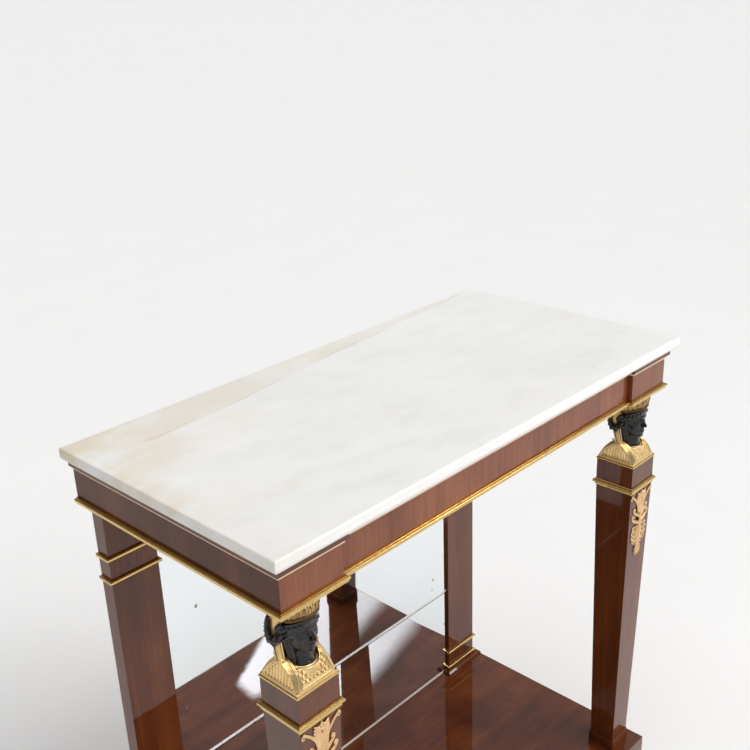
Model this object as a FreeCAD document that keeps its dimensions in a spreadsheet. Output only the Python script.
import FreeCAD, Part
import Sketcher
import math
import os

# Pier table with a loose marble top.  Frame: millimetres, +Z up, X to the right
# seen from the front, front = -Y, origin on the floor under the middle of the top.

V = FreeCAD.Vector
doc = FreeCAD.newDocument("PierTable")
sheet = doc.addObject("Spreadsheet::Sheet", "Dims")

TABLE = [
    # overall
    ("top_width", 870, "marble slab, left to right"),
    ("top_depth", 428, "marble slab, front to back"),
    ("top_thick", 23, "marble slab thickness"),
    ("total_height", 885, "floor to marble surface"),
    ("slab_foot", 3, "square fillet under the ovolo of the slab edge"),
    ("slab_undercut", 9, "inset of that fillet from the slab outline"),
    ("slab_ovolo", 8.9, "radius of the ovolo of the slab edge"),
    ("slab_arris", 2.2, "softened upper arris of the slab"),
    ("leaf_lift", 80, "height that the loose slab is lifted to come off"),
    # frieze
    ("frieze_half", 419, "half width of the frieze over its faces"),
    ("frieze_front", 198, "front face of the projecting corner blocks, in front of centre"),
    ("frieze_recess", 7.5, "setback of the middle of the frieze"),
    ("frieze_floor", 798, "underside of the frieze"),
    ("rail_height", 51, "height of the frieze rails"),
    ("rail_thick", 24, "thickness of the frieze rails"),
    ("block_width", 98, "width of the corner blocks"),
    ("core_depth", 64, "depth of the corner core behind its facing"),
    ("back_plane", 214, "back of the carcass, behind centre"),
    ("bearer_width", 40, "cross bearers"),
    ("bearer_height", 29, "cross bearers"),
    ("bearer_place", 110, "cross bearers, each side of the middle"),
    ("soffit_thick", 6, "board that closes the frieze below"),
    ("post_side", 30, "square posts in the rear corners"),
    # sub-top with its bed moulding and bead
    ("subtop_thick", 13, "sub-top that carries the slab"),
    ("bed_out", 6, "projection of the bed moulding over the frieze"),
    ("bed_height", 9.4, "height of the bed moulding"),
    ("bed_chamfer", 2.6, "undercut of the bed moulding"),
    ("bead_out", 2.6, "projection of the bead below it"),
    ("bead_height", 3.0, "height of the bead"),
    ("bead_round", 1.5, "rounding of the bead"),
    # brass moulding below the frieze
    ("brass_height", 8, "height of the brass moulding"),
    ("brass_out", 6, "its greatest projection"),
    ("brass_round", 2.3, "rounding of its torus"),
    ("brass_fillet", 1.8, "height of its lower fillet"),
    ("brass_fillet_out", 4.4, "projection of its lower fillet"),
    ("brass_torus", 5, "height of its torus"),
    ("brass_neck_out", 2.4, "projection of its upper fillet"),
    # base
    ("base_height", 86, "floor to the platform"),
    ("base_board", 22, "thickness of the platform board"),
    ("base_half", 417, "half width of the base"),
    ("base_front", 193, "front of the base between its blocks"),
    ("base_block_front", 213, "front of the base blocks"),
    ("base_block_width", 104, "width of the base blocks"),
    ("base_core_depth", 76, "depth of the core of a base block"),
    ("base_arris", 1.6, "softened arris of the platform"),
    # herm legs
    ("leg_place", 372, "axis of the herm legs from the middle"),
    ("leg_front", 165, "axis of the herm legs in front of centre"),
    ("shaft_foot", 46.4, "side of the shaft at its foot"),
    ("shaft_head", 66.2, "side of the shaft at its head"),
    ("shaft_top", 630.5, "top of the shaft above the floor"),
    ("foot_band", 21.5, "height of the band round the foot with its upper step"),
    ("foot_step", 4, "height of that step"),
    ("foot_step_out", 1.2, "projection of that step"),
    ("foot_band_out", 2.3, "projection of the band round the foot"),
    ("tenon_side", 28, "tenon at the foot of the shaft"),
    ("spigot", 50, "side of the wood inside the bands"),
    ("cap_side", 67, "side of the cap block"),
    ("cap_floor", 642, "underside of the cap block"),
    ("cap_top", 677.7, "top of the cap block"),
    ("band_low_side", 76.4, "side of the lower band"),
    ("band_low_neck", 70, "side of the neck of the lower band"),
    ("band_low_round", 2.9, "rounding of the lower band"),
    ("band_up_side", 69.4, "side of the upper band"),
    ("band_up_height", 4.6, "height of the upper band"),
    ("band_up_round", 1.9, "rounding of the upper band"),
    ("shoulder_top", 717, "top of the bronze shoulders"),
    ("neck_floor", 695, "socket of the neck in the shoulders"),
    ("neck_shift", 8, "neck in front of the leg axis"),
    ("neck_radius", 15, "radius of the neck at its base"),
    ("head_mid", 755, "middle of the head"),
    ("head_wide", 42, "width of the head"),
    ("head_deep", 54, "depth of the head"),
    ("head_tall", 63, "height of the head"),
    ("head_shift", 5, "axis of the head in front of the leg axis"),
    ("crown_floor", 749, "lowest point of the crown, at the back"),
    ("crown_tilt", 22, "backward slope of the rim of the crown, degrees"),
    ("crown_shift", 10, "crown in front of the leg axis"),
    ("crown_low", 23, "radius of the crown at its rim"),
    ("crown_high", 24, "radius of the crown below the frieze"),
    ("strap_width", 12, "width of the straps"),
    ("strap_thick", 3, "thickness of the straps"),
    ("rod_radius", 4, "iron rod through each bust"),
    ("rod_shift", 2, "rod in front of the leg axis"),
    ("rod_floor", 606, "lower end of the rod"),
    ("rod_top", 840, "upper end of the rod"),
    ("ornament_top", 627.5, "top of the leaf mount"),
    ("ornament_tall", 130, "height of the leaf mount"),
    ("ornament_half", 29, "half width of the leaf mount"),
    ("ornament_thick", 4.5, "thickness of the leaf mount"),
    # rear pilasters
    ("pilaster_place", 365, "middle of the pilasters from the middle"),
    ("pilaster_width", 78, "width of the pilasters"),
    ("pilaster_front", 185, "front face of the pilasters, behind centre"),
    ("pilaster_thick", 25, "thickness of the pilasters"),
    ("stub_width", 50, "tenons of the pilasters"),
    ("stub_thick", 10, "tenons of the pilasters"),
    ("stub_length", 20, "tenons of the pilasters"),
    ("collar_height", 6, "height of the brass collars of the pilasters"),
    ("collar_out", 4.6, "projection of the brass collars"),
    ("collar_round", 2.4, "rounding of the brass collars"),
    ("collar_top", 707, "underside of the upper collar"),
    ("collar_second", 670, "underside of the second collar"),
    ("collar_third", 130, "underside of the third collar"),
    ("collar_low", 94, "underside of the lowest collar"),
    ("plinth_height", 7, "height of the plinth moulding of the pilasters"),
    ("plinth_out", 12.5, "projection of the plinth moulding"),
    ("plinth_chamfer", 3.5, "chamfer of the plinth moulding"),
    # mirror
    ("glass_front", 190.5, "face of the mirror, behind centre"),
    ("glass_thick", 4, "thickness of the mirror plates"),
    ("glass_half", 330, "half width of the mirror plates"),
    ("glass_joint", 283, "joint between the two plates above the floor"),
    ("glass_gap", 0.8, "gap between the two plates"),
    ("glass_slip", 6, "height of the slip below the lower plate"),
    ("glass_top", 797.5, "top of the upper plate"),
    ("board_front", 195, "front of the backboards, behind centre"),
    ("board_thick", 8.5, "thickness of the backboards"),
    ("board_half", 338, "half width of the backboards"),
    ("screw_radius", 2, "screws of the backboards"),
]


class Dim:
    """A length that carries both its value and its expression on the sheet."""

    def __init__(self, value, text):
        self.value = float(value)
        self.text = text

    @staticmethod
    def of(x):
        return x if isinstance(x, Dim) else Dim(x, "%g" % x)

    def __add__(self, o):
        o = Dim.of(o)
        return Dim(self.value + o.value, "(%s + %s)" % (self.text, o.text))

    def __radd__(self, o):
        return Dim.of(o) + self

    def __sub__(self, o):
        o = Dim.of(o)
        return Dim(self.value - o.value, "(%s - (%s))" % (self.text, o.text))

    def __rsub__(self, o):
        return Dim.of(o) - self

    def __mul__(self, o):
        o = Dim.of(o)
        return Dim(self.value * o.value, "(%s * (%s))" % (self.text, o.text))

    __rmul__ = __mul__

    def __truediv__(self, o):
        o = Dim.of(o)
        return Dim(self.value / o.value, "(%s / (%s))" % (self.text, o.text))

    def __neg__(self):
        return Dim(-self.value, "(0 - %s)" % self.text)

    def bound(self):
        return "Dims." in self.text


D = {}
for number, (alias, value, note) in enumerate(TABLE, 1):
    sheet.set("A%d" % number, note)
    sheet.set("B%d" % number, "%g" % value)
    sheet.setAlias("B%d" % number, alias)
    D[alias] = Dim(value, "Dims." + alias)
doc.recompute()

subparts = []


def bind(obj, path, dim):
    dim = Dim.of(dim)
    if dim.bound():
        obj.setExpression(path, dim.text)


def body(label, x=0, y=0):
    """A PartDesign body; x and y place it, heights are in its sketches."""
    b = doc.addObject("PartDesign::Body", label)
    b.Label = label
    x, y = Dim.of(x), Dim.of(y)
    b.Placement = FreeCAD.Placement(V(x.value, y.value, 0), FreeCAD.Rotation())
    bind(b, "Placement.Base.x", x)
    bind(b, "Placement.Base.y", y)
    subparts.append(b)
    return b


def origin_plane(b, role):
    return [f for f in b.Origin.OriginFeatures if f.Role == role][0]


def outline(b, loops, at=0, role="XY_Plane"):
    """A sketch of closed polygons; each corner is held by the sheet."""
    sk = b.newObject("Sketcher::SketchObject", b.Name + "_outline")
    sk.AttachmentSupport = [(origin_plane(b, role), "")]
    sk.MapMode = "FlatFace"
    at = Dim.of(at)
    sk.AttachmentOffset = FreeCAD.Placement(V(0, 0, at.value), FreeCAD.Rotation())
    bind(sk, "AttachmentOffset.Base.z", at)
    if not isinstance(loops[0], list):
        loops = [loops]
    first = 0
    for pts in loops:
        pts = [(Dim.of(x), Dim.of(y)) for x, y in pts]
        n = len(pts)
        for i in range(n):
            a, c = pts[i], pts[(i + 1) % n]
            sk.addGeometry(
                Part.LineSegment(V(a[0].value, a[1].value, 0), V(c[0].value, c[1].value, 0)), False
            )
        for i in range(n):
            sk.addConstraint(Sketcher.Constraint("Coincident", first + i, 2, first + (i + 1) % n, 1))
        for i in range(n):
            for kind, dim, axis in (("DistanceX", pts[i][0], -2), ("DistanceY", pts[i][1], -1)):
                if abs(dim.value) < 1e-9:
                    sk.addConstraint(Sketcher.Constraint("PointOnObject", first + i, 1, axis))
                    continue
                k = sk.addConstraint(Sketcher.Constraint(kind, first + i, 1, dim.value))
                if dim.bound():
                    sk.setExpression("Constraints[%d]" % k, dim.text)
        first += n
    return sk


def ring_sketch(b, x, y, radius, at, role="XY_Plane"):
    """A sketch of one circle."""
    sk = b.newObject("Sketcher::SketchObject", b.Name + "_circle")
    sk.AttachmentSupport = [(origin_plane(b, role), "")]
    sk.MapMode = "FlatFace"
    x, y, radius, at = Dim.of(x), Dim.of(y), Dim.of(radius), Dim.of(at)
    sk.AttachmentOffset = FreeCAD.Placement(V(0, 0, at.value), FreeCAD.Rotation())
    bind(sk, "AttachmentOffset.Base.z", at)
    sk.addGeometry(Part.Circle(V(x.value, y.value, 0), V(0, 0, 1), radius.value), False)
    k = sk.addConstraint(Sketcher.Constraint("Radius", 0, radius.value))
    bind(sk, "Constraints[%d]" % k, radius)
    for kind, dim, axis in (("DistanceX", x, -2), ("DistanceY", y, -1)):
        if abs(dim.value) < 1e-9:
            sk.addConstraint(Sketcher.Constraint("PointOnObject", 0, 3, axis))
            continue
        k = sk.addConstraint(Sketcher.Constraint(kind, 0, 3, dim.value))
        bind(sk, "Constraints[%d]" % k, dim)
    return sk


def pad(b, sk, length, reverse=False):
    p = b.newObject("PartDesign::Pad", b.Name + "_pad")
    p.Profile = sk
    length = Dim.of(length)
    p.Length = length.value
    bind(p, "Length", length)
    p.Reversed = reverse
    doc.recompute()
    return p


def pocket(b, sk, length, reverse=False):
    """Cuts from the sketch downwards, or upwards when reversed, and proves that it cut."""
    before = b.Tip.Shape.Volume
    p = b.newObject("PartDesign::Pocket", b.Name + "_pocket")
    p.Profile = sk
    length = Dim.of(length)
    p.Length = length.value
    bind(p, "Length", length)
    p.Reversed = reverse
    doc.recompute()
    if not p.Shape.Volume < before - 1e-3:
        raise RuntimeError("%s: a pocket cut nothing" % b.Label)
    return p


def edges_where(shape, test):
    names = []
    for i, e in enumerate(shape.Edges, 1):
        pts = [v.Point for v in e.Vertexes]
        if len(pts) == 2 and test(pts[0], pts[1]):
            names.append("Edge%d" % i)
    return names


def dress(b, kind, test, size):
    """A fillet or chamfer on the edges of the tip that pass the test."""
    tip = b.Tip
    names = edges_where(tip.Shape, test)
    if not names:
        raise RuntimeError("%s: no edge to dress" % b.Label)
    f = b.newObject("PartDesign::" + kind, b.Name + "_" + kind.lower())
    f.Base = (tip, names)
    size = Dim.of(size)
    prop = "Radius" if kind == "Fillet" else "Size"
    setattr(f, prop, size.value)
    bind(f, prop, size)
    doc.recompute()
    return f


def level(z, tol=1e-4):
    """Edges that lie flat at height z."""
    z = Dim.of(z).value
    return lambda p, q: abs(p.z - z) < tol and abs(q.z - z) < tol


def rect(x0, x1, y0, y1):
    return [(x0, y0), (x1, y0), (x1, y1), (x0, y1)]


def square(side, y=0):
    side = Dim.of(side)
    y = Dim.of(y)
    return rect(-side / 2, side / 2, y - side / 2, y + side / 2)


def flip(s, pts):
    """The outline for the right side (s = 1) or mirrored to the left (s = -1)."""
    return [(Dim.of(x) * s, y) for x, y in pts]


SIDES = (("left", -1), ("right", 1))
half_w = D["top_width"] / 2
half_d = D["top_depth"] / 2
fh, ff, fr = D["frieze_half"], D["frieze_front"], D["frieze_recess"]
back = D["back_plane"]
bi = fh - D["block_width"]            # inner end of a frieze block
panel = ff - fr                       # front of the middle of the frieze
f0 = D["frieze_floor"]
f1 = f0 + D["rail_height"]
slab0 = D["total_height"] - D["top_thick"]
rt = D["rail_thick"]

# ---------------------------------------------------------------- marble slab
b = body("marble_top")
inset = D["slab_undercut"]
pad(b, outline(b, rect(-half_w + inset, half_w - inset, -half_d + inset, half_d), slab0), D["slab_foot"])
pad(b, outline(b, rect(-half_w, half_w, -half_d, half_d), slab0 + D["slab_foot"]),
    D["top_thick"] - D["slab_foot"])
zf = slab0 + D["slab_foot"]
dress(b, "Fillet",
      lambda p, q: abs(p.z - zf.value) < 1e-4 and abs(q.z - zf.value) < 1e-4
      and ((abs(abs(p.x) - half_w.value) < 1e-4 and abs(abs(q.x) - half_w.value) < 1e-4)
           or (abs(p.y + half_d.value) < 1e-4 and abs(q.y + half_d.value) < 1e-4))
      and not (abs(p.y - half_d.value) < 1e-4 and abs(q.y - half_d.value) < 1e-4),
      D["slab_ovolo"])
dress(b, "Fillet", level(D["total_height"]), D["slab_arris"])


def front_line(out, y_back):
    """Plan of a frieze layer with its breakfront, pushed out by a projection."""
    o = Dim.of(out)
    return [
        (-fh - o, y_back), (-fh - o, -ff - o), (-bi + o, -ff - o), (-bi + o, -panel - o),
        (bi - o, -panel - o), (bi - o, -ff - o), (fh + o, -ff - o), (fh + o, y_back),
    ]


# -------------------------------------------------- sub-top with bed moulding
b = body("sub_top_board")
rest = D["subtop_thick"] - D["bed_height"] - D["bead_height"]
pad(b, outline(b, front_line(D["bead_out"], back), f1 + rest), D["bead_height"])
za, zb = (f1 + rest).value, (f1 + rest + D["bead_height"]).value


def on_runs(z, runs):
    """Edges at height z that lie along one of the given plan runs."""

    def test(p, q):
        if abs(p.z - z) > 1e-4 or abs(q.z - z) > 1e-4:
            return False
        for a, c in runs:
            ends = [min(math.hypot(r.x - a[0], r.y - a[1]), math.hypot(r.x - c[0], r.y - c[1])) < 1e-3
                    for r in (p, q)]
            if all(ends) and math.hypot(p.x - q.x, p.y - q.y) > 1e-3:
                return True
        return False
    return test


def outer_edge(z, o):
    """Edges at height z along the pushed-out front and sides of the frieze."""
    pts = [(Dim.of(x).value, Dim.of(y).value) for x, y in front_line(o, back)]
    return on_runs(z, list(zip(pts[:-1], pts[1:])))


dress(b, "Fillet", outer_edge(za, D["bead_out"]), D["bead_round"])
pad(b, outline(b, front_line(0.3, back), f1), rest)
pad(b, outline(b, front_line(D["bed_out"], back), f1 + rest + D["bead_height"]), D["bed_height"])
dress(b, "Chamfer", outer_edge(zb, D["bed_out"]), D["bed_chamfer"])

# ------------------------------------------------------------- frieze carcass
b = body("frieze_front_rail")
pad(b, outline(b, rect(-bi, bi, -panel, -panel + rt), f0), D["rail_height"])

for side, s in SIDES:
    # side rail, mitred to the block facing
    b = body("frieze_side_rail_" + side)
    pad(b, outline(b, flip(s, [(fh, -ff), (fh, back), (fh - rt, back), (fh - rt, -ff + rt)]), f0),
        D["rail_height"])
    # facing of the corner block, with its short return beside the middle
    b = body("frieze_block_facing_" + side)
    pad(b, outline(b, flip(s, [(fh, -ff), (fh - rt, -ff + rt), (bi, -ff + rt), (bi, -ff)]), f0),
        D["rail_height"])
b = body("frieze_back_rail")
back_in = D["pilaster_front"] + 2
pad(b, outline(b, rect(-fh + rt, fh - rt, back_in, back), f0), D["rail_height"])
stub_mid = D["pilaster_front"] + D["pilaster_thick"] / 2
for side, s in SIDES:
    px = D["pilaster_place"]
    pocket(b, outline(b, flip(s, rect(px - D["stub_width"] / 2, px + D["stub_width"] / 2,
                                      stub_mid - D["stub_thick"] / 2, stub_mid + D["stub_thick"] / 2)), f0),
           D["stub_length"], reverse=True)

b = body("frieze_cross_bearers")
for s in (-1, 1):
    x0 = D["bearer_place"] - D["bearer_width"] / 2
    x1 = D["bearer_place"] + D["bearer_width"] / 2
    pad(b, outline(b, flip(s, rect(x0, x1, -panel + rt, back_in)), f1 - D["bearer_height"]),
        D["bearer_height"])

b = body("frieze_soffit_board")
core_back = -ff + rt + D["core_depth"]
pad(b, outline(b, [(-fh + rt, core_back), (-bi, core_back), (-bi, -panel + rt), (bi, -panel + rt),
                   (bi, core_back), (fh - rt, core_back), (fh - rt, back_in), (-fh + rt, back_in)], f0),
    D["soffit_thick"])

# softwood blocks glued in the corners; the front pair takes the rods of the busts
b = body("frieze_corner_blocks")
for s in (-1, 1):
    pad(b, outline(b, flip(s, rect(bi, fh - rt, -ff + rt, -ff + rt + D["core_depth"])), f0),
        D["rail_height"])
    pad(b, outline(b, flip(s, rect(fh - rt - D["post_side"], fh - rt, back_in - D["post_side"], back_in)),
                   f0 + D["soffit_thick"]), D["rail_height"] - D["soffit_thick"])
for s in (-1, 1):
    pocket(b, ring_sketch(b, D["leg_place"] * s, -D["leg_front"] - D["rod_shift"], D["rod_radius"], f0),
           D["rod_top"] - f0, reverse=True)

# --------------------------------------------- brass moulding under the frieze


def brass_strip(label, plan):
    """Lower fillet, torus and neck of the moulding over one plan."""
    b = body(label)
    z = f0
    pad(b, outline(b, plan(D["brass_out"]), z + D["brass_fillet"]), D["brass_torus"])
    lo, hi = (z + D["brass_fillet"]).value, (z + D["brass_fillet"] + D["brass_torus"]).value
    pts = [(Dim.of(x).value, Dim.of(y).value) for x, y in plan(D["brass_out"])]
    wood = [(Dim.of(x).value, Dim.of(y).value) for x, y in plan(Dim(0, "0"))]
    moved = []                      # outer runs: both ends away from the wood
    for i in range(len(pts)):
        a, c = pts[i], pts[(i + 1) % len(pts)]
        da = math.hypot(a[0] - wood[i][0], a[1] - wood[i][1])
        dc = math.hypot(c[0] - wood[(i + 1) % len(pts)][0], c[1] - wood[(i + 1) % len(pts)][1])
        if da > 1 and dc > 1:
            moved.append((a, c))

    low_edges, high_edges = on_runs(lo, moved), on_runs(hi, moved)
    dress(b, "Fillet", lambda p, q: low_edges(p, q) or high_edges(p, q), D["brass_round"])
    pad(b, outline(b, plan(D["brass_fillet_out"]), z), D["brass_fillet"])
    pad(b, outline(b, plan(D["brass_neck_out"]), z + D["brass_fillet"] + D["brass_torus"]),
        D["brass_height"] - D["brass_fillet"] - D["brass_torus"])
    return b


brass_strip("frieze_moulding_centre",
            lambda p: [(-bi, -panel), (-bi + p, -panel - p), (bi - p, -panel - p), (bi, -panel)])
for side, s in SIDES:
    brass_strip("frieze_moulding_block_" + side,
                lambda p, s=s: flip(s, [(fh, -ff), (fh + p, -ff - p), (bi - p, -ff - p),
                                        (bi - p, -panel - p), (bi, -panel), (bi, -ff)]))
    brass_strip("frieze_moulding_side_" + side,
                lambda p, s=s: flip(s, [(fh, -ff), (fh + p, -ff - p), (fh + p, back), (fh, back)]))

# ----------------------------------------------------------------------- base
bh, bf, bb = D["base_half"], D["base_front"], D["base_block_front"]
bbi = bh - D["base_block_width"]
b0 = D["base_height"] - D["base_board"]
b = body("base_platform_board")
pad(b, outline(b, [(-bh, back), (-bh, -bb), (-bbi, -bb), (-bbi, -bf), (bbi, -bf), (bbi, -bb),
                   (bh, -bb), (bh, back)], b0), D["base_board"])
dress(b, "Fillet",
      lambda p, q: level(D["base_height"])(p, q)
      and not (abs(p.y - back.value) < 1e-4 and abs(q.y - back.value) < 1e-4), D["base_arris"])
lp, lf = D["leg_place"], D["leg_front"]
for side, s in SIDES:
    t = D["tenon_side"] / 2
    pocket(b, outline(b, flip(s, rect(lp - t, lp + t, -lf - t, -lf + t)), D["base_height"]),
           D["base_board"] - 2)
    px = D["pilaster_place"]
    pocket(b, outline(b, flip(s, rect(px - D["stub_width"] / 2, px + D["stub_width"] / 2,
                                      stub_mid - D["stub_thick"] / 2, stub_mid + D["stub_thick"] / 2)),
                      D["base_height"]), D["base_board"] - 2)

b = body("base_front_rail")
pad(b, outline(b, rect(-bbi, bbi, -bf, -bf + rt), 0), b0)
for side, s in SIDES:
    b = body("base_side_rail_" + side)
    pad(b, outline(b, flip(s, [(bh, -bb), (bh, back), (bh - rt, back), (bh - rt, -bb + rt)]), 0), b0)
    b = body("base_block_facing_" + side)
    pad(b, outline(b, flip(s, [(bh, -bb), (bh - rt, -bb + rt), (bbi, -bb + rt), (bbi, -bb)]), 0), b0)
b = body("base_back_rail")
pad(b, outline(b, rect(-bh + rt, bh - rt, back - rt, back), 0), b0)
b = body("base_cross_bearers")
for s in (-1, 1):
    x0 = D["bearer_place"] - D["bearer_width"] / 2
    x1 = D["bearer_place"] + D["bearer_width"] / 2
    pad(b, outline(b, flip(s, rect(x0, x1, -bf + rt, back - rt)), b0 - D["bearer_height"]),
        D["bearer_height"])
b = body("base_corner_blocks")
for s in (-1, 1):
    g = D["post_side"]
    pad(b, outline(b, flip(s, rect(bbi, bh - rt, -bb + rt, -bb + rt + D["base_core_depth"])), 2), b0 - 2)
    pad(b, outline(b, flip(s, rect(bh - rt - g, bh - rt, back - rt - g, back - rt)), 2), b0 - 2)

# -------------------------------------------------------------- rear pilasters
pz0, pz1 = D["base_height"], f0
pf, pt, pw = D["pilaster_front"], D["pilaster_thick"], D["pilaster_width"]
for side, s in SIDES:
    px = D["pilaster_place"]
    x0, x1 = px - pw / 2, px + pw / 2
    b = body("rear_pilaster_" + side)
    pad(b, outline(b, flip(s, rect(x0, x1, pf, pf + pt)), pz0), pz1 - pz0)
    sw, st = D["stub_width"] / 2, D["stub_thick"] / 2
    pad(b, outline(b, flip(s, rect(px - sw, px + sw, stub_mid - st, stub_mid + st)), pz1), D["stub_length"])
    pad(b, outline(b, flip(s, rect(px - sw, px + sw, stub_mid - st, stub_mid + st)),
                   pz0 - D["base_board"] + 2), D["base_board"] - 2)
    # groove for the glass and rebate for the backboards, along the inner edge
    gl = D["glass_half"]
    pocket(b, outline(b, flip(s, rect(x0 - 1, gl, D["glass_front"], D["glass_front"] + D["glass_thick"])), pz1),
           pz1 - pz0)
    pocket(b, outline(b, flip(s, rect(x0 - 1, D["board_half"], D["board_front"], pf + pt + 1)), pz1),
           pz1 - pz0)


def collar(b, s, z, height, out, rounding, kind="Fillet"):
    """A moulding round the front and sides of a pilaster."""
    px = D["pilaster_place"]
    x0, x1 = px - pw / 2, px + pw / 2
    stop = D["glass_front"] - 0.2     # the inner leg of the collar ends before the glass
    sk = outline(b, flip(s, [(x0 - out, stop), (x0 - out, pf - out), (x1 + out, pf - out),
                             (x1 + out, pf + pt), (x1, pf + pt), (x1, pf), (x0, pf), (x0, stop)]), z)
    pad(b, sk, height)
    zlo, zhi = Dim.of(z).value, (Dim.of(z) + height).value
    xa, xb = (px - pw / 2 - out).value, (px + pw / 2 + out).value
    ya = (pf - out).value

    def test(p, q):
        if abs(p.z - q.z) > 1e-4:
            return False
        if kind == "Fillet":
            if abs(p.z - zlo) > 1e-4 and abs(p.z - zhi) > 1e-4:
                return False
        elif abs(p.z - zhi) > 1e-4:
            return False
        ax, bx = abs(p.x), abs(q.x)
        long_front = abs(p.y - ya) < 1e-3 and abs(q.y - ya) < 1e-3
        outer = abs(ax - xb) < 1e-3 and abs(bx - xb) < 1e-3
        inner = abs(ax - xa) < 1e-3 and abs(bx - xa) < 1e-3
        return long_front or outer or inner

    dress(b, kind, test, rounding)


for side, s in SIDES:
    b = body("pilaster_collars_" + side)
    for z in ("collar_top", "collar_second", "collar_third", "collar_low"):
        collar(b, s, D[z], D["collar_height"], D["collar_out"], D["collar_round"])
    b = body("pilaster_plinth_" + side)
    collar(b, s, D["base_height"], D["plinth_height"], D["plinth_out"], D["plinth_chamfer"], "Chamfer")

# --------------------------------------------------------------------- mirror
g0, gt = D["glass_front"], D["glass_thick"]
gh = D["glass_half"]
b = body("mirror_plate_upper")
pad(b, outline(b, rect(-gh, gh, g0, g0 + gt), D["glass_joint"] + D["glass_gap"]),
    D["glass_top"] - D["glass_joint"] - D["glass_gap"])
b = body("mirror_plate_lower")
pad(b, outline(b, rect(-gh, gh, g0, g0 + gt), D["base_height"] + D["glass_slip"]),
    D["glass_joint"] - D["base_height"] - D["glass_slip"])
b = body("mirror_bottom_slip")
pad(b, outline(b, rect(-gh, gh, g0, g0 + gt), D["base_height"]), D["glass_slip"])
b = body("mirror_backboards")
bd = (f0 - D["base_height"]) / 3
for i in range(3):
    z = D["base_height"] + bd * i
    pad(b, outline(b, rect(-D["board_half"], D["board_half"], D["board_front"],
                           D["board_front"] + D["board_thick"]), z + 0.4), bd - 0.8)

# ------------------------------------------------------------ shape of the heads


def curve(table, u):
    """Smooth value at u of a table of (position, value) pairs."""
    if u <= table[0][0]:
        return table[0][1]
    for (u0, v0), (u1, v1) in zip(table, table[1:]):
        if u <= u1:
            w = (u - u0) / (u1 - u0)
            return v0 + (v1 - v0) * w * w * (3 - 2 * w)
    return table[-1][1]


def bell(u, width):
    return math.exp(-(u / width) ** 2)


# Heights are from the eye line of a head 63 mm tall.  The eye line halves the
# head; brow, base of the nose and chin stand a third of the face apart.
HALF_WIDTH = [(-33, 13.2), (-31.5, 11.0), (-29, 12.2), (-25, 14.2), (-19, 16.2), (-12, 17.6), (-5, 18.6),
              (2, 19.6), (8.5, 20.0), (14, 19.5), (19, 17.7), (23, 15.2), (26, 12.4), (28.5, 9.1), (30.5, 5.6),
              (31.4, 2.6)]
FRONT = [(-33, 15.8), (-31.8, 17.4), (-30.2, 21.2), (-27, 23.4), (-23.5, 22.2), (-21, 23.2), (-17, 23.2),
         (-12, 23.0), (-5, 22.6), (0, 22.2), (5.5, 24.0), (10, 24.0), (15, 22.9), (19, 20.9), (23, 17.6),
         (26, 14.4), (28.5, 10.6), (30.5, 6.4), (31.4, 2.6)]
BACK = [(-33, 12.6), (-24, 13.4), (-14, 18.5), (-4, 23.5), (8.5, 25.6), (14, 24.9), (19, 22.7), (23, 19.3),
        (26, 15.6), (28.5, 11.4), (30.5, 6.9), (31.4, 2.6)]


def head_radius(phi, u):
    """Distance of the skin from the head axis; phi is 0 at the front, in degrees."""
    a = math.radians(phi)
    sx, cy = math.sin(a), math.cos(a)
    width = curve(HALF_WIDTH, u)
    depth = curve(FRONT, u) if cy > 0 else curve(BACK, u)
    power = 2.0 + (0.25 if cy > 0 else 0.0)
    r = (abs(sx / width) ** power + abs(cy / depth) ** power) ** (-1 / power)
    x = abs(r * sx)
    if cy > 0 and u > -33:
        # nose, with its wings
        if -13 < u < 6:
            ridge = curve([(-13, 0), (-11.8, 2.6), (-10, 5.6), (-8, 5.0), (-4, 3.2), (0, 1.5), (5, 0.2)], u)
            half = curve([(-12, 3.6), (-10, 3.3), (-6, 2.5), (0, 2.0), (6, 2.4)], u)
            r += ridge * bell(x, half * 1.25)
            r += 1.5 * bell(x - 3.4, 1.7) * bell(u + 10.2, 1.9)
        # brows, lidded eyes in their hollows
        r += 0.9 * bell(x - 7.5, 5.5) * bell(u - 5.2, 2.2)
        r -= 2.1 * bell(x - 8.2, 4.4) * bell(u + 0.2, 3.6)
        r += 1.7 * bell(x - 8.2, 3.7) * bell(u, 2.2)
        # cheeks, lips and chin
        r += 0.9 * bell(x - 10.5, 5) * bell(u + 9.5, 5)
        r += 1.5 * bell(x, 5.2) * bell(u + 17.3, 1.3)
        r += 1.4 * bell(x, 4.4) * bell(u + 20.9, 1.4)
        r -= 0.9 * bell(x, 5.2) * bell(u + 24.0, 1.5)
        r += 0.8 * bell(x, 4.6) * bell(u + 27.2, 2.6)
    # hair: a rolled band over the brow and curls that hang at the sides and back
    if cy > -0.2:
        r += 1.4 * bell(u - 17.5 + 5.5 * (1 - max(cy, 0)), 3.2) * (1 + 0.22 * math.cos(math.radians(phi * 14)))
    side_hair = curve([(52, 0), (66, 0.55), (84, 1), (180, 1)], abs(phi))
    if side_hair > 0:
        fall = curve([(-32, 0), (-28.5, 0.75), (-22, 1), (1, 1), (7, 0.5), (10.5, 0)], u)
        waves = 1 + 0.08 * math.cos(math.radians(phi * 9)) * math.cos(u * 0.62)
        target = (27.0 + 1.6 * bell(abs(phi) - 100, 22)) * waves
        if target > r:
            r += (target - r) * side_hair * fall
    return r


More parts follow.
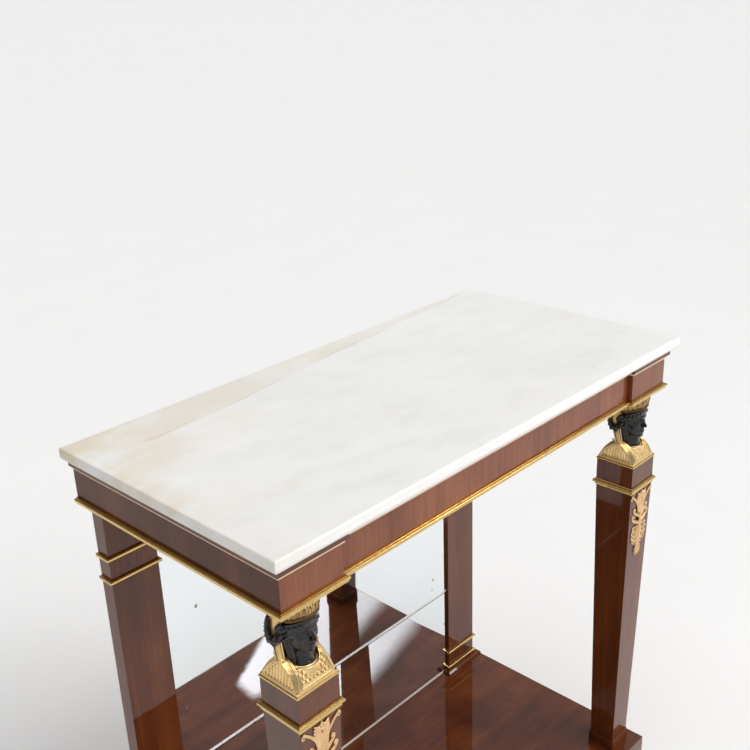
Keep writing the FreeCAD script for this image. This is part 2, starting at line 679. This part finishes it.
def neck_radius_at(phi, z, shift):
    """Distance from the head axis to the skin of the neck, a cone that stands in front of it."""
    share = (z - D["neck_floor"].value) / (D["head_mid"] - D["neck_floor"]).value
    rn = D["neck_radius"].value - 0.1 - 2 * share
    a = math.radians(phi)
    sx, cy = math.sin(a), math.cos(a)
    return shift * cy + math.sqrt(max(rn * rn - (shift * sx) ** 2, 0))


def head_shape():
    """Head, hair and neck as one solid about the leg axis, heights in the frame of the table."""
    eye = D["head_mid"].value - 1.5
    kx, ky, kz = (D["head_wide"] / 42).value, (D["head_deep"] / 54).value, (D["head_tall"] / 63).value
    base = -D["head_shift"].value
    shift = D["neck_shift"].value - D["head_shift"].value
    phis = [-180 + 12 * i for i in range(11)] + [-50 + 5 * i for i in range(21)] + [60 + 12 * i for i in range(10)]
    levels = [-33, -31, -29.5, -28, -26.5, -25, -23.5, -22, -20.8, -19.2, -17.5, -16, -14, -12, -10.5, -9, -6.5,
              -4, -2, 0, 2, 4, 6.5, 9, 12, 15, 18, 21, 24, 26.5, 29, 31]
    rows = []
    low = eye - 33 * kz
    for v in (0, 0.3, 0.6, 0.85, 1):
        z = D["neck_floor"].value * (1 - v) + (low - 3) * v
        rows.append((z, [neck_radius_at(f, z, shift) for f in phis]))
    for u in levels:
        z = eye + u * kz
        mix = curve([(-33, 0), (-29, 1)], u)
        row = []
        for f in phis:
            r = head_radius(f, u)
            n = neck_radius_at(f, z, shift)
            row.append(max(r * mix + n * (1 - mix), n if u < -22 else 0))
        rows.append((z, row))
    wires = []
    for z, row in rows:
        pts = []
        for f, r in zip(phis, row):
            a = math.radians(f)
            pts.append(V(r * math.sin(a) * kx, base - r * math.cos(a) * ky, z))
        c = Part.BSplineCurve()
        c.interpolate(Points=pts, PeriodicFlag=True)
        wires.append(Part.Wire([c.toShape()]))
    return Part.makeLoft(wires, True, True, False)


# -------------------------------------------------------------------- the herms
b0h = D["base_height"]
taper = math.degrees(math.atan2((D["shaft_head"] - D["shaft_foot"]).value / 2,
                                (D["shaft_top"] - b0h - D["foot_band"]).value))
for side, s in SIDES:
    ax, ay = D["leg_place"] * s, -D["leg_front"]

    b = body("herm_shaft_" + side, ax, ay)
    pad(b, outline(b, square(D["tenon_side"]), b0h - D["base_board"] + 2), D["base_board"] - 2)
    pad(b, outline(b, square(D["shaft_foot"]), b0h), D["foot_band"])
    low = outline(b, square(D["shaft_foot"]), b0h + D["foot_band"])
    high = outline(b, square(D["shaft_head"]), D["shaft_top"])
    loft = b.newObject("PartDesign::AdditiveLoft", b.Name + "_taper")
    loft.Profile = low
    loft.Sections = [high]
    loft.Ruled = True
    doc.recompute()
    pocket(b, ring_sketch(b, 0, -D["rod_shift"], D["rod_radius"], D["shaft_top"]),
           D["shaft_top"] - D["rod_floor"])

    def band(label, layers, inner, rounding):
        """A square ring in layers (side, z, height); the last one is rounded."""
        b = body(label, ax, ay)
        for n, (outer, z, height) in enumerate(layers):
            sk = outline(b, [square(outer), square(inner)], z)
            pad(b, sk, height)
            if n == 0:
                h2 = outer.value / 2
                zs = (Dim.of(z).value, (Dim.of(z) + height).value)
                dress(b, "Fillet",
                      lambda p, q: abs(p.z - q.z) < 1e-4 and min(abs(p.z - zs[0]), abs(p.z - zs[1])) < 1e-4
                      and max(abs(p.x), abs(p.y)) > h2 - 1e-3 and max(abs(q.x), abs(q.y)) > h2 - 1e-3,
                      rounding)
        return b

    band("herm_foot_band_" + side,
         [(D["shaft_foot"] + 2 * D["foot_band_out"], b0h, D["foot_band"] - D["foot_step"]),
          (D["shaft_foot"] + 2 * D["foot_step_out"], b0h + D["foot_band"] - D["foot_step"], D["foot_step"])],
         D["shaft_foot"], 1)
    z0 = D["shaft_top"]
    band("herm_band_lower_" + side,
         [(D["band_low_side"], z0 + 4, Dim.of(6)),
          (D["band_low_neck"], z0, Dim.of(4)),
          (D["band_low_neck"], z0 + 10, D["cap_floor"] - z0 - 10)], D["spigot"], D["band_low_round"])

    b = body("herm_cap_block_" + side, ax, ay)
    pad(b, outline(b, square(D["cap_side"]), D["cap_floor"]), D["cap_top"] - D["cap_floor"])
    pad(b, outline(b, square(D["spigot"]), D["shaft_top"]), D["cap_floor"] - D["shaft_top"])
    pad(b, outline(b, square(D["spigot"]), D["cap_top"]), D["band_up_height"])
    pocket(b, ring_sketch(b, 0, -D["rod_shift"], D["rod_radius"], D["cap_top"] + D["band_up_height"]),
           D["cap_top"] + D["band_up_height"] - D["shaft_top"])
    band("herm_band_upper_" + side,
         [(D["band_up_side"], D["cap_top"], D["band_up_height"])], D["spigot"], D["band_up_round"])

    # leaf mount on the front of the shaft: a pad of its outline, laid to the taper
    b = body("herm_leaf_mount_" + side)
    hw, tall = D["ornament_half"], D["ornament_tall"]
    half_outline = [(0.00, 1.00), (0.22, 0.97), (0.34, 0.90), (0.66, 0.985), (0.98, 0.97), (0.92, 0.90),
                    (0.60, 0.88), (0.56, 0.80), (0.72, 0.72), (0.88, 0.74), (0.80, 0.66), (0.52, 0.64),
                    (0.62, 0.56), (0.86, 0.57), (0.76, 0.48), (0.36, 0.50), (0.30, 0.40), (0.62, 0.35),
                    (0.74, 0.24), (0.66, 0.12), (0.36, 0.12), (0.30, 0.06), (0.00, 0.00)]
    pts = [(hw * u, tall * (v - 1)) for u, v in half_outline]
    pts += [(-hw * u, tall * (v - 1)) for u, v in reversed(half_outline[1:-1])]
    sk = outline(b, pts, 0, "XZ_Plane")
    pad(b, sk, D["ornament_thick"])
    face = (D["shaft_head"] / 2).value - math.tan(math.radians(taper)) * (D["shaft_top"] - D["ornament_top"]).value
    b.Placement = FreeCAD.Placement(
        V(ax.value, ay.value - face - 0.02, D["ornament_top"].value),
        FreeCAD.Rotation(V(1, 0, 0), taper))
    bind(b, "Placement.Base.x", ax)
    bind(b, "Placement.Base.z", D["ornament_top"])

    # iron rod that ties the shaft, the bust and the frieze together
    rod = doc.addObject("Part::Cylinder", "herm_iron_rod_" + side)
    rod.Label = "herm_iron_rod_" + side
    bind(rod, "Radius", D["rod_radius"])
    bind(rod, "Height", D["rod_top"] - D["rod_floor"])
    rod.Placement = FreeCAD.Placement(
        V(ax.value, (ay - D["rod_shift"]).value, D["rod_floor"].value), FreeCAD.Rotation())
    bind(rod, "Placement.Base.x", ax)
    bind(rod, "Placement.Base.y", ay - D["rod_shift"])
    bind(rod, "Placement.Base.z", D["rod_floor"])
    subparts.append(rod)

    def place(obj, dx, dy, dz, rotation=None):
        x, y, z = ax + Dim.of(dx), ay + Dim.of(dy), Dim.of(dz)
        obj.Placement = FreeCAD.Placement(V(x.value, y.value, z.value), rotation or FreeCAD.Rotation())
        bind(obj, "Placement.Base.x", x)
        bind(obj, "Placement.Base.y", y)
        bind(obj, "Placement.Base.z", z)
        return obj

    # bronze head on its neck: one smooth skin through horizontal sections
    ns, hm = D["neck_shift"], D["head_mid"]
    whole = head_shape()
    whole.translate(V(ax.value, ay.value, 0))
    hole = Part.makeCylinder(D["rod_radius"].value, 120,
                             V(ax.value, (ay - D["rod_shift"]).value, D["neck_floor"].value - 5))
    head = doc.addObject("Part::Feature", "herm_head_" + side)
    head.Label = "herm_head_" + side
    head.Shape = whole.cut(hole)
    head.Placement = FreeCAD.Placement()
    subparts.append(head)
    neck = doc.addObject("Part::Cone", "neck_" + side)
    for prop, dim in (("Radius1", D["neck_radius"]), ("Radius2", D["neck_radius"] - 2),
                      ("Height", hm - D["neck_floor"])):
        setattr(neck, prop, dim.value)
        bind(neck, prop, dim)
    place(neck, 0, -ns, D["neck_floor"])

    # gilt shoulders: a gabled block with its ridge from side to side, open for neck and rod
    sh0, sh1 = D["cap_top"] + D["band_up_height"], D["shoulder_top"]
    rise = sh1 - sh0
    rows = [(0.00, 32.6, -32.6, 32.6), (0.08, 32.6, -32.6, 32.6), (0.25, 31.0, -28.0, 27.5),
            (0.50, 29.8, -20.5, 20.5), (0.77, 28.8, -11.5, 13.4), (1.00, 28.0, -4.5, 6.0)]
    block = doc.addObject("PartDesign::Body", "shoulder_block_" + side)
    block.Placement = FreeCAD.Placement(V(ax.value, ay.value, 0), FreeCAD.Rotation())
    bind(block, "Placement.Base.x", ax)
    bind(block, "Placement.Base.y", ay)
    unit = D["cap_side"] / 67
    sections = [outline(block, rect(unit * -hx, unit * hx, unit * y0, unit * y1), sh0 + rise * u)
                for u, hx, y0, y1 in rows]
    sl = block.newObject("PartDesign::AdditiveLoft", "shoulder_loft_" + side)
    sl.Profile = sections[0]
    sl.Sections = sections[1:]
    sl.Ruled = True
    tools = doc.addObject("Part::MultiFuse", "shoulder_tools_" + side)
    tools.Shapes = [neck, rod]
    shoulders = doc.addObject("Part::Cut", "herm_shoulders_" + side)
    shoulders.Base, shoulders.Tool = block, tools
    shoulders.Label = "herm_shoulders_" + side
    subparts.append(shoulders)

    # gilt crown: a low basket with a sloping rim, seated on the head
    cone = doc.addObject("Part::Cone", "crown_cone_" + side)
    for prop, dim in (("Radius1", D["crown_low"]), ("Radius2", D["crown_high"]),
                      ("Height", f0 - D["crown_floor"])):
        setattr(cone, prop, dim.value)
        bind(cone, prop, dim)
    place(cone, 0, -D["crown_shift"], D["crown_floor"])
    wedge = doc.addObject("Part::Box", "crown_slope_" + side)
    for prop, v in (("Length", 120), ("Width", 140), ("Height", 60)):
        setattr(wedge, prop, v)
    # the top face of the wedge passes 19 mm above the crown floor at the crown axis
    turn = FreeCAD.Rotation(V(1, 0, 0), -D["crown_tilt"].value)
    corner = V(ax.value, (ay - D["crown_shift"]).value, D["crown_floor"].value + 19) \
        + turn.multVec(V(-60, -70, -60))
    wedge.Placement = FreeCAD.Placement(corner, turn)
    socket = doc.addObject("Part::Ellipsoid", "crown_socket_" + side)
    for prop, dim in (("Radius1", D["head_tall"] * (24.2 / 63)), ("Radius2", D["head_wide"] / 2 + 1.2),
                      ("Radius3", D["head_deep"] / 2 + 0.3)):
        setattr(socket, prop, dim.value)
        bind(socket, prop, dim)
    place(socket, 0, -D["head_shift"], hm + 7)
    crown = cone
    for n, tool in enumerate((wedge, socket, rod)):
        step = doc.addObject("Part::Cut", "crown_step%d_%s" % (n, side))
        step.Base, step.Tool = crown, tool
        crown = step
    crown.Label = "herm_crown_" + side
    subparts.append(crown)

    # gilt straps: ribbons at both sides of the head, from the shoulders to the crown
    straps = []
    for k in (-1, 1):
        sb = doc.addObject("PartDesign::Body", "strap_body_%s%d" % (side, k > 0))
        sb.Placement = FreeCAD.Placement(V(ax.value, ay.value, 0), FreeCAD.Rotation())
        bind(sb, "Placement.Base.x", ax)
        bind(sb, "Placement.Base.y", ay)
        th, wide = D["strap_thick"], D["strap_width"]
        rows = [(0, 26.5, -1), (0.2, 25.0, 1.5), (0.42, 24.2, 5), (0.7, 25.0, 10.5),
                (0.86, 24.0, 9), (1, 21.5, 3)]
        rings = [outline(sb, rect(Dim.of(x) * k, Dim.of(x) * k + th * k, y - wide / 2, y + wide / 2),
                         sh1 + (D["crown_floor"] + 15 - sh1) * v) for v, x, y in rows]
        ribbon = sb.newObject("PartDesign::AdditiveLoft", "strap_loft_%s%d" % (side, k > 0))
        ribbon.Profile = rings[0]
        ribbon.Sections = rings[1:]
        ribbon.Ruled = True
        straps.append(sb)
    both = doc.addObject("Part::MultiFuse", "straps_whole_" + side)
    both.Shapes = straps
    cutstraps = doc.addObject("Part::Cut", "herm_straps_" + side)
    cutstraps.Base, cutstraps.Tool = both, head
    cutstraps.Label = "herm_straps_" + side
    subparts.append(cutstraps)

doc.recompute()

# ------------------------------------------------------------------ fasteners
# Wood screws through the backboards into the rebates of the pilasters, and
# brass pins through the leaf mounts, each a turned piece with its head.


def spin(profile, place_at, rotation):
    """A turned pin from (radius, height) pairs."""
    pts = [V(0, 0, profile[0][1])] + [V(r, 0, h) for r, h in profile] + [V(0, 0, profile[-1][1])]
    face = Part.Face(Part.makePolygon(pts + [pts[0]]))
    solid = face.revolve(V(0, 0, 0), V(0, 0, 1), 360)
    solid.Placement = FreeCAD.Placement(place_at, rotation)
    return solid


sr = D["screw_radius"].value
screws = []
for s in (-1, 1):
    for i in range(3):
        for v in (0.2, 0.8):
            z = D["base_height"].value + bd.value * (i + v)
            x = s * (D["board_half"].value - 5)
            y = (D["board_front"] + D["board_thick"]).value
            screws.append(spin([(sr * 0.4, -12), (sr * 0.8, -9), (sr * 0.8, -2.5), (sr * 1.9, 0)],
                               V(x, y, z), FreeCAD.Rotation(V(1, 0, 0), -90)))
pins = []
slope = math.tan(math.radians(taper))
for s in (-1, 1):
    for drop in (14.0, 74.0, 116.0):
        z = D["ornament_top"].value - drop
        y = -D["leg_front"].value - (D["shaft_head"].value / 2 - slope * (D["shaft_top"].value - z))
        y -= D["ornament_thick"].value
        pins.append(spin([(0.5, -14), (0.9, -11), (0.9, 0.1), (2.0, 0.1), (1.3, 0.9)],
                         V(s * D["leg_place"].value, y, z), FreeCAD.Rotation(V(1, 0, 0), 90 + taper)))

for name, solids in (("backboard_screws", screws), ("leaf_mount_pins", pins)):
    obj = doc.addObject("Part::Feature", name)
    obj.Label = name
    obj.Shape = Part.makeCompound(solids)
    obj.Placement = FreeCAD.Placement()
    subparts.append(obj)

# --------------------------------------------------------- check and write out
doc.recompute()
bad = [o.Label for o in doc.Objects if any(w in ("Invalid", "Error") for w in o.State)]
if bad:
    raise RuntimeError("failed objects: " + ", ".join(bad))
for o in subparts:
    if o.Shape.isNull() or not o.Shape.isValid() or not o.Shape.Solids:
        raise RuntimeError("bad shape: " + o.Label)

os.makedirs("parts", exist_ok=True)
for o in subparts:
    o.Shape.exportStep(os.path.join("parts", o.Label + ".step"))
    bbx = o.Shape.BoundBox
    print("%-32s solids %d  x %7.1f %7.1f  y %7.1f %7.1f  z %6.1f %6.1f" % (
        o.Label, len(o.Shape.Solids), bbx.XMin, bbx.XMax, bbx.YMin, bbx.YMax, bbx.ZMin, bbx.ZMax))
print(len(subparts), "sub-parts")
